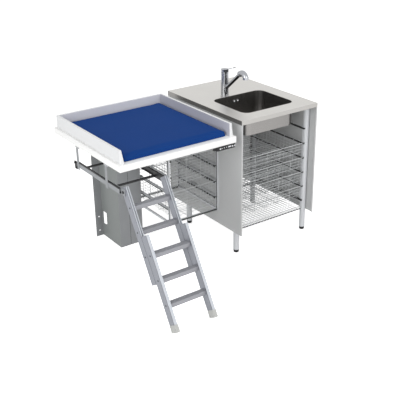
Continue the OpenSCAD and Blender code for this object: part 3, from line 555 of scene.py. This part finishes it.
def basket(node, inset, settings):
    """Bent-wire basket in the place of its CAD body, with a rim that rests on the runners."""
    lo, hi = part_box(node)
    slot = SLOTS[node]
    r, rim, bend = settings.wire / 2, settings.rim / 2, settings.bend
    zr = hi.z - 0.006 + rim
    x1, x2, y1, y2 = lo.x + rim, hi.x - rim, lo.y + rim, hi.y - rim
    bx1, bx2, zb = lo.x + inset + 2 * r, hi.x - inset - 2 * r, lo.z + r
    parts = [wires([(x1, y1, zr), (x2, y1, zr), (x2, y2, zr), (x1, y2, zr)], slot, rim,
                   closed=True, bend=0.01, sides=8)]
    # carrying wires across and along
    n, d = between(y1, y2, settings.upright)
    parts.append(wires([(x1, y1 + d, zr), (bx1, y1 + d, zr), (bx1, y1 + d, zb),
                        (bx2, y1 + d, zb), (bx2, y1 + d, zr), (x2, y1 + d, zr)],
                       slot, 1.3 * r, n, (0, d, 0), bend=bend))
    n, d = between(bx1, bx2, settings.upright)
    parts.append(wires([(bx1 + d, y1, zr), (bx1 + d, y1, zb + 2 * r),
                        (bx1 + d, y2, zb + 2 * r), (bx1 + d, y2, zr)],
                       slot, 1.3 * r, n, (d, 0, 0), bend=bend))
    # wires round the sides
    n, d = between(zb, zr, settings.ring_pitch)
    parts.append(wires([(bx1 - 2 * r, y1, zb + d), (bx2 + 2 * r, y1, zb + d),
                        (bx2 + 2 * r, y2, zb + d), (bx1 - 2 * r, y2, zb + d)],
                       slot, r, n, (0, 0, d), closed=True, bend=0.01))
    # bottom mesh, whose cross wires run up the sides
    n, d = between(y1, y2, settings.pitch)
    parts.append(wires([(bx1, y1 + d, zr - 4 * r), (bx1, y1 + d, zb + 2 * r),
                        (bx2, y1 + d, zb + 2 * r), (bx2, y1 + d, zr - 4 * r)], slot, r, n,
                       (0, d, 0), bend=bend))
    n, d = between(bx1, bx2, settings.pitch)
    parts.append(wires([(bx1 + d, y1, zb + 4 * r), (bx1 + d, y2, zb + 4 * r)], slot, r, n,
                       (d, 0, 0)))
    mesh = joined(node + "_wires", parts)
    return piece(node + "_wires", mesh, NODES[node]["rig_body"], slot, [node])


def ridge_rows(first, step, count, sides, front, drop, size, run, pitch):
    """Rows of ridges on both sides' runners: places in millimetres, sizes in metres."""
    starts = [room(x, front, first + step * i - drop) for i in range(count) for x in sides]
    return bars(starts, "rack_metal", size, int(run / pitch), (0, pitch, 0))


class UNIT_OT_baskets(bpy.types.Operator):
    """Runners with ridges, four wire baskets and the mesh shelf of the cabinet"""
    bl_idname = "unit.baskets"
    bl_label = "Cabinet baskets"

    def execute(self, context):
        s = context.scene.unit_wires
        racks = finish_node("runner_racks", 0.0006)
        # the front strips beside the legs are as light as the legs
        a, b = room(43.1, 300, 0), room(556.9, 300, 0)
        repaint(racks, "leg_paint", lambda face: face.center.y < a.y
                and not a.x < face.center.x < b.x)
        ridges = ridge_rows(first=225, step=100, count=6, sides=(52.6, 547.4), front=66, drop=4,
                            size=(0.0016, 0.009, 0.0064), run=0.55, pitch=s.ridge_pitch)
        piece("runner_ridges", ridges, "installation", "rack_metal")
        for node in ("basket_1", "basket_2", "basket_3", "basket_4"):
            basket(node, BASKET_INSET, s)
        # mesh shelf: between the legs in front and behind, between the panels elsewhere
        lo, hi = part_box("bottom_shelf")
        leg, leg_end, leg_side, near, mid = 0.038, 0.027, 0.019, 0.002, 0.014
        r = s.shelf_wire / 2
        z, ya, yb = hi.z - r, lo.y + leg_end, hi.y - leg_end
        n, d = between(ya, yb, s.shelf_pitch)
        parts = [wires([(lo.x, ya + d, z), (hi.x, ya + d, z)], "wire_metal", r, n, (0, d, 0))]
        parts += [wires([(lo.x + leg, y, z), (hi.x - leg, y, z)], "wire_metal", r)
                  for y in (lo.y + near, lo.y + mid, hi.y - mid, hi.y - near)]
        parts += [wires([(lo.x, y, z), (hi.x, y, z)], "wire_metal", 1.5 * r) for y in (ya, yb)]
        n, d = between(lo.x + leg, hi.x - leg, s.shelf_pitch)
        x, z = lo.x + leg + d, z - 2 * r
        parts.append(wires([(x, lo.y, z), (x, hi.y, z)], "wire_metal", r, n, (d, 0, 0)))
        parts += [wires([(x, ya, z), (x, yb, z)], "wire_metal", r)
                  for x in (lo.x + r, lo.x + leg_side, hi.x - leg_side, hi.x - r)]
        piece("shelf_mesh", joined("shelf_mesh", parts), "installation", "wire_metal",
              ["bottom_shelf"])
        lo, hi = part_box("shelf_rails")
        deep, inset = 0.008, 0.003
        rails = [block(Vector((lo.x, y, 0)), hi.x - lo.x, deep, lo.z + inset, hi.z - 0.002)
                 for y in (lo.y + inset, hi.y - 0.011)]
        rounded(piece("shelf_rails_formed", joined("shelf_rails_formed", rails), "installation",
                      "rack_metal", ["shelf_rails"]), 0.001)
        return {"FINISHED"}


# ---- bay ----

class UNIT_OT_bay(bpy.types.Operator):
    """Storage bay: frames, ridged runners and two deep wire baskets"""
    bl_idname = "unit.bay"
    bl_label = "Storage bay"

    def execute(self, context):
        s = context.scene.unit_wires
        # all but the runners is as light as the legs: distances from the bay's middle plane of the
        # frames' inner faces and of the band that stays dark
        mid, frame_in, back = room(-186, 0, 0).x, 0.1739, (0.1835, 0.1845)
        for node in ("bay_side_left", "bay_side_right"):
            repaint(finish_node(node, 0.0008), "leg_paint", lambda face: face.normal.z > 0.9
                    or abs(face.center.x - mid) > frame_in
                    and not back[0] < abs(face.center.x - mid) < back[1])
        # the rails' top faces get the legs' light coat over the dark rails: a painted light top
        repaint(finish_node("bay_rails", 0.0008), "leg_paint", lambda face: face.normal.z > 0.9)
        ridges = ridge_rows(first=339, step=107, count=4, sides=(-347.4, -24.6), front=250,
                            drop=7.5, size=(0.0016, 0.017, 0.014), run=0.43,
                            pitch=s.ridge_pitch)
        piece("bay_runner_ridges", ridges, "installation", "rack_metal")
        for node in ("bay_basket_low", "bay_basket_high"):
            basket(node, BASKET_INSET, s)
        # dark edges of the front posts and slots of the rear ones
        lo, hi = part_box("bay_rails")
        thick, deep = 0.0005, 0.008
        edges = [block(room(x, 236.2, 0), thick, deep, lo.z, hi.z)
                 for x in (-372.3, -360.2, -12.3)]
        piece("bay_post_edges", joined("bay_post_edges", edges), "installation", "bay_metal")
        slot_size, slot_step, slot_count = (0.006, 0.0008, 0.016), (0, 0, 0.022), 21
        slots = bars([room(x, 685.7, 262) for x in (-363, -9)], "bay_metal", slot_size,
                     slot_count, slot_step)
        piece("bay_post_slots", slots, "installation", "bay_metal")
        return {"FINISHED"}


# ---- column ----

class UNIT_OT_column(bpy.types.Operator):
    """Lift column with its mast and actuator"""
    bl_idname = "unit.column"
    bl_label = "Lift column"

    def execute(self, context):
        t = context.scene.unit_trims
        for node in ("column_side_left", "column_side_right", "column_base", "column_cap",
                     "actuator_tube", "actuator_rod", "mast"):
            made = finish_node(node, t.sheet_edge)
            if node.startswith("column_side"):
                # the sides' front faces get the cover's coat, with its painted shade
                repaint(made, "cover_paint", lambda face: face.normal.y < -0.9)
        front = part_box("column_cover")[0].y
        cover = finish_node("column_cover", t.sheet_edge / 2)
        repaint(cover, "rack_metal", lambda face: face.normal.y < -0.9
                and face.center.y > front + 0.0007)
        return {"FINISHED"}


# ---- changing table ----

class UNIT_OT_table(bpy.types.Operator):
    """Slab, raised edges and underframe"""
    bl_idname = "unit.table"
    bl_label = "Changing table"

    def execute(self, context):
        t = context.scene.unit_trims
        finish_node("table_slab", t.slab_edge, 3)
        # the inner faces get darker copies of the vinyl as painted shade, less dark on the rear
        # wall
        for node, inward, slot in (("edge_wall_left", Vector((1, 0, 0)), "wall_inside_shade"),
                                   ("edge_wall_right", Vector((-1, 0, 0)), "wall_inside_shade"),
                                   ("edge_wall_rear", Vector((0, -1, 0)), "wall_rear")):
            wall = finish_node(node, t.slab_edge, 3)
            repaint(wall, slot, lambda face: face.normal.dot(inward) > 0.9)
        finish_node("underframe", t.sheet_edge)
        return {"FINISHED"}


class UNIT_OT_mattress(bpy.types.Operator):
    """Filled mattress that is held round its foot"""
    bl_idname = "unit.mattress"
    bl_label = "Mattress"

    def execute(self, context):
        s = context.scene.unit_mattress
        lo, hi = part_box("mattress")
        shrink, seam, frames = 0.0025, 0.004, 20
        bm = bmesh.new()
        bm.from_mesh(NODES["mattress"].data)
        bmesh.ops.remove_doubles(bm, verts=bm.verts, dist=2e-6)
        mid = (lo + hi) / 2
        for v in bm.verts:
            for i in range(2):
                v.co[i] += shrink if v.co[i] < mid[i] else -shrink
            if v.co.z > mid.z:
                v.co.z -= shrink
        mesh = bpy.data.meshes.new("mattress_pad")
        bm.to_mesh(mesh)
        bm.free()
        pad = bpy.data.objects.new("mattress_pad", mesh)
        bpy.context.scene.collection.objects.link(pad)
        remesh = pad.modifiers.new("even faces", "REMESH")
        remesh.mode = "VOXEL"
        remesh.voxel_size = s.voxel
        bake(pad)
        start = [v.co.copy() for v in pad.data.vertices]
        foot = pad.vertex_groups.new(name="foot")
        foot.add([v.index for v in pad.data.vertices if v.co.z < lo.z + seam], 1.0, "ADD")
        cloth = pad.modifiers.new("filling", "CLOTH")
        cloth.settings.use_pressure = True
        cloth.settings.uniform_pressure_force = s.pressure
        cloth.settings.effector_weights.gravity = 0.0
        cloth.settings.vertex_group_mass = "foot"
        cloth.settings.quality = 4
        cloth.collision_settings.use_collision = False
        for step in range(1, frames + 1):
            bpy.context.scene.frame_set(step)
        bake(pad)
        bpy.context.scene.frame_set(1)
        for v, old in zip(pad.data.vertices, start):
            shift = v.co - old
            if shift.length > s.swell:
                v.co = old + shift * (s.swell / shift.length)
        smooth(pad.data, 80)
        pad.data.materials.clear()
        pad.data.materials.append(FINISHES["mattress_vinyl"])
        for v in pad.data.vertices:
            v.co.z = max(v.co.z, lo.z)
        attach(pad, "mattress")
        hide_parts("mattress")
        return {"FINISHED"}


# ---- ladder guide and ladder ----

def on_ladder(depth, along):
    """A point midway across the ladder, in millimetres of depth and along the stringers."""
    c, s = math.cos(LADDER_LEAN), math.sin(LADDER_LEAN)
    return room(LADDER_MID, LADDER_FOOT + depth * c + along * s, along * c - depth * s)


def ladder_bar(x1, x2, d1, d2, a1, a2):
    """A plain bar in the ladder's directions: across, in depth and along, in millimetres."""
    return prism(*([on_ladder(d1 + b * (d2 - d1), a) + Vector(((x1 + c * (x2 - x1)) / 1000, 0, 0))
                    for c, b in SQUARE] for a in (a1, a2)))


class UNIT_OT_guide(bpy.types.Operator):
    """Rails, hangers, carriers and crossbars under the table"""
    bl_idname = "unit.guide"
    bl_label = "Ladder guide"

    def execute(self, context):
        t = context.scene.unit_trims
        for node in ("hangers", "rail_left", "rail_right", "rail_liners", "carrier_left",
                     "carrier_right"):
            finish_node(node, t.sheet_edge)
        for node in ("rail_end_plates", "fixed_crossbar", "carrier_crossbar", "pivot_bolts"):
            finish_node(node, 2 * t.sheet_edge)
        # a thin black strip along the top of each rail's outer face
        dark_strips, thick, tall = [], 0.0005, 0.005
        for node, x in (("rail_left", -0.0003), ("rail_right", 0.0098)):
            lo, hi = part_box(node)
            dark_strips.append(block(lo + Vector((x, 0, 0)), thick, hi.y - lo.y, hi.z - tall, hi.z))
        piece("rail_lips", joined("rail_lips", dark_strips), "table", "black_plastic")
        return {"FINISHED"}


class UNIT_OT_ladder(bpy.types.Operator):
    """Telescopic ladder with ribbed treads and foot caps"""
    bl_idname = "unit.ladder"
    bl_label = "Step ladder"

    def execute(self, context):
        t = context.scene.unit_trims
        front = on_ladder(-1, 0) - on_ladder(0, 0)
        line_w, line_d, skin = 0.3, 2.5, 0.0013
        tread_l, tread_d, tread_up, rib_h = 0.222, 0.028, 0.0121, 0.001
        for level, groove, ends in (("upper", 3.5, (272, 825)), ("lower", -53.5, (43, 542))):
            for side in ("left", "right"):
                stringer = finish_node(level + "_stringer_" + side, t.sheet_edge)
                # faces turned to the front get a lighter copy of the aluminium as painted light
                repaint(stringer, "front_alu_painted_light", lambda face: face.normal.dot(front) > 0.0009)
            # dark strips along the webs near their front edges: painted shadow lines of the
            # extrusion's grooves
            lines = [ladder_bar(x, x + line_w, groove, groove + line_d, *ends)
                     for x in (-133.65, -115.65, 115.35, 133.35)]
            piece(level + "_grooves", joined(level + "_grooves", lines),
                  NODES[level + "_stringer_left"]["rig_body"], "rivets_and_groove_shadows")
        for node, depth, first in (("upper_rungs", 32, 2), ("lower_rungs", -28, 0)):
            lo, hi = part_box(node)
            rungs = finish_node(node, 2 * t.sheet_edge)
            repaint(rungs, "rivets_and_groove_shadows", lambda face: not lo.x + skin < face.center.x
                    < hi.x - skin)
            treads = [on_ladder(depth, RUNG_FIRST + RUNG_STEP * i)
                      for i in range(first, first + 3)]
            d = tread_d / t.ribs
            starts = [p + Vector((0, (d - tread_d) / 2, tread_up)) for p in treads]
            ribs = bars(starts, "rung_alu", (tread_l, 0.45 * d, rib_h), t.ribs, (0, d, 0))
            piece(node[:5] + "_treads", ribs, NODES[node]["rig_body"], "rung_alu")
        finish_node("foot_caps", 3 * t.sheet_edge)
        return {"FINISHED"}


# ---- hand control ----

class UNIT_OT_control(bpy.types.Operator):
    """Hand control with its keys"""
    bl_idname = "unit.control"
    bl_label = "Hand control"

    def execute(self, context):
        finish_node("hand_control", 0.0025, 3)
        for node in ("key_up", "key_down", "key_stop"):
            finish_node(node, 0.0006)
        # display and three small lamps
        lamps = bars([room(-157, -16, 773)], "key_white", (0.005, 0.0008, 0.005), 3,
                     (0.0165, 0, 0))
        display = block(room(-112, -16.4, 0), 0.021, 0.0008, 0.769, 0.777)
        piece("display", joined("display", [lamps, display]), "table", "key_white")
        return {"FINISHED"}


# ---- tap ----

class UNIT_OT_tap(bpy.types.Operator):
    """Mixer tap with its lever and pull-out head"""
    bl_idname = "unit.tap"
    bl_label = "Mixer tap"

    def execute(self, context):
        aside, rise = Vector((0.82, -0.57, 0)), Vector((0, -0.77, 0.64))
        collar = min(rise.dot(v.co) for v in NODES["spray_head"].data.vertices) + 0.009
        # painted reflection: chrome_shade streaks on faces of the body and cap half turned towards
        # aside, the camera's right-hand direction, on the undersides of the spout and lever, on
        # most of the lever's upright faces and on a band at the head's lower end
        painted_reflections = {
            "tap_body": lambda face: 0.0 < face.normal.dot(aside) < 0.45,
            "tap_cap": lambda face: 0.0 < face.normal.dot(aside) < 0.45,
            "tap_spout": lambda face: face.normal.z < -0.1,
            "spray_head": lambda face: face.center.dot(rise) < collar,
            "tap_lever": lambda face: face.normal.z < -0.2
            or abs(face.normal.z) < 0.5 and face.normal.dot(aside) > -0.3,
        }
        for node, shade in painted_reflections.items():
            repaint(finish_node(node, 0.001, 3), "chrome_shade", shade)
        return {"FINISHED"}


# ---- stage ----

def lamp(name, power, size, place, aim):
    """A soft square lamp at a place, turned to its aim."""
    data = bpy.data.lights.new(name, "AREA")
    data.energy = power
    data.size = size
    obj = bpy.data.objects.new(name, data)
    obj.location = place
    obj.rotation_mode = "QUATERNION"
    obj.rotation_quaternion = (Vector(aim) - Vector(place)).to_track_quat("-Z", "Y")
    bpy.context.scene.collection.objects.link(obj)
    return obj


def seen_white(tree, light):
    """White to the camera and in reflections, and a plain light for all else."""
    add, link = tree.nodes.new, tree.links.new
    ray = add("ShaderNodeLightPath")
    first = add("ShaderNodeMath")
    first.operation = "MAXIMUM"
    link(ray.outputs["Is Camera Ray"], first.inputs[0])
    link(ray.outputs["Is Glossy Ray"], first.inputs[1])
    both = add("ShaderNodeMath")
    both.operation = "MAXIMUM"
    link(first.outputs[0], both.inputs[0])
    link(ray.outputs["Is Transmission Ray"], both.inputs[1])
    mix = add("ShaderNodeMixShader")
    link(both.outputs[0], mix.inputs[0])
    link(light, mix.inputs[1])
    return mix


class UNIT_OT_stage(bpy.types.Operator):
    """Pale floor, white surroundings, soft lamps and the camera"""
    bl_idname = "unit.stage"
    bl_label = "Stage"

    def execute(self, context):
        s = context.scene.unit_studio
        scene = context.scene
        scene.view_settings.view_transform = "Standard"
        # floor
        bm = bmesh.new()
        bmesh.ops.create_grid(bm, x_segments=1, y_segments=1, size=12.0)
        mesh = bpy.data.meshes.new("floor")
        bm.to_mesh(mesh)
        bm.free()
        floor = bpy.data.objects.new("floor", mesh)
        scene.collection.objects.link(floor)
        floor.location.z = -0.0005
        mat = bpy.data.materials.new("Pale floor")
        mat.use_nodes = True
        tree = mat.node_tree
        shader = tree.nodes["Principled BSDF"]
        shader.inputs["Base Color"].default_value = [*s.floor, 1.0]
        shader.inputs["Roughness"].default_value = 0.9
        shader.inputs["Specular IOR Level"].default_value = 0.0
        glow = tree.nodes.new("ShaderNodeEmission")
        glow.inputs["Strength"].default_value = 0.75
        lit = tree.nodes.new("ShaderNodeAddShader")
        tree.links.new(shader.outputs[0], lit.inputs[0])
        tree.links.new(glow.outputs[0], lit.inputs[1])
        mix = seen_white(tree, shader.outputs[0])
        tree.links.new(lit.outputs[0], mix.inputs[2])
        tree.links.new(mix.outputs[0], tree.nodes["Material Output"].inputs["Surface"])
        mesh.materials.append(mat)
        # world
        world = bpy.data.worlds.new("White surroundings")
        scene.world = world
        world.use_nodes = True
        tree = world.node_tree
        sky = tree.nodes["Background"]
        sky.inputs["Color"].default_value = (1.0, 1.0, 1.0, 1.0)
        sky.inputs["Strength"].default_value = s.sky
        white = tree.nodes.new("ShaderNodeBackground")
        white.inputs["Color"].default_value = (1.0, 1.0, 1.0, 1.0)
        white.inputs["Strength"].default_value = 1.0
        mix = seen_white(tree, sky.outputs[0])
        tree.links.new(white.outputs[0], mix.inputs[2])
        tree.links.new(mix.outputs[0], tree.nodes["World Output"].inputs["Surface"])
        # lamps
        lamp("front", s.front, 3.0, (1.0, -5.0, 2.4), (0, 0, 0.6))
        lamp("side", s.side, 4.0, (-5.0, -2.0, 2.2), (0, 0, 0.5))
        # not mirrored, or the level steel would turn white from above
        above = lamp("top", s.top, 4.0, (0.2, -0.4, 4.8), (0, 0, 0.6))
        above.visible_glossy = False
        # camera: its angles, its focal length and frame width in pixels, and its place
        az, el, roll = (math.radians(a) for a in (-34.7346, 24.4403, -0.8871))
        focal, width, place = 777.19, 400, (-2.5546, -3.5621, 2.3674)
        back = Vector((math.sin(az) * math.cos(el), -math.cos(az) * math.cos(el), math.sin(el)))
        right = (-back).cross(Vector((0, 0, 1))).normalized()
        up = right.cross(-back)
        cx = right * math.cos(roll) + up * math.sin(roll)
        cy = up * math.cos(roll) - right * math.sin(roll)
        data = bpy.data.cameras.new("view")
        data.sensor_width = 36.0
        data.lens = focal / width * data.sensor_width
        cam = bpy.data.objects.new("view", data)
        cam.matrix_world = Matrix((
            (cx.x, cy.x, back.x, place[0]), (cx.y, cy.y, back.y, place[1]),
            (cx.z, cy.z, back.z, place[2]), (0, 0, 0, 1)))
        scene.collection.objects.link(cam)
        scene.camera = cam
        return {"FINISHED"}


class UNIT_PT_panel(bpy.types.Panel):
    """Lists the unit's operators and settings"""
    bl_label = "Changing Unit"
    bl_idname = "UNIT_PT_panel"
    bl_space_type = "VIEW_3D"
    bl_region_type = "UI"
    bl_category = "Changing Unit"

    def draw(self, context):
        for cls in OPERATORS:
            self.layout.operator(cls.bl_idname)
        for _, attribute in SETTINGS:
            group = getattr(context.scene, attribute)
            box = self.layout.box()
            for name in group.__annotations__:
                box.prop(group, name)


SETTINGS = [(ColourSettings, "unit_colours"), (WireSettings, "unit_wires"),
            (TrimSettings, "unit_trims"), (MattressSettings, "unit_mattress"),
            (StudioSettings, "unit_studio")]
OPERATORS = [UNIT_OT_finishes, UNIT_OT_cabinet, UNIT_OT_baskets, UNIT_OT_bay, UNIT_OT_column,
             UNIT_OT_table, UNIT_OT_mattress, UNIT_OT_guide, UNIT_OT_ladder, UNIT_OT_control,
             UNIT_OT_tap, UNIT_OT_stage]


def register():
    """Registers the settings, operators and panel."""
    for cls, attribute in SETTINGS:
        bpy.utils.register_class(cls)
        setattr(bpy.types.Scene, attribute, PointerProperty(type=cls))
    for cls in OPERATORS + [UNIT_PT_panel]:
        bpy.utils.register_class(cls)


def unregister():
    """Removes them again."""
    for cls in [UNIT_PT_panel] + OPERATORS[::-1]:
        bpy.utils.unregister_class(cls)
    for cls, attribute in SETTINGS[::-1]:
        delattr(bpy.types.Scene, attribute)
        bpy.utils.unregister_class(cls)


def main():
    """Builds everything in order."""
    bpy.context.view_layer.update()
    register()
    for cls in OPERATORS:
        category, name = cls.bl_idname.split(".")
        getattr(getattr(bpy.ops, category), name)()
    bpy.context.view_layer.update()


if __name__ == "__main__":
    main()
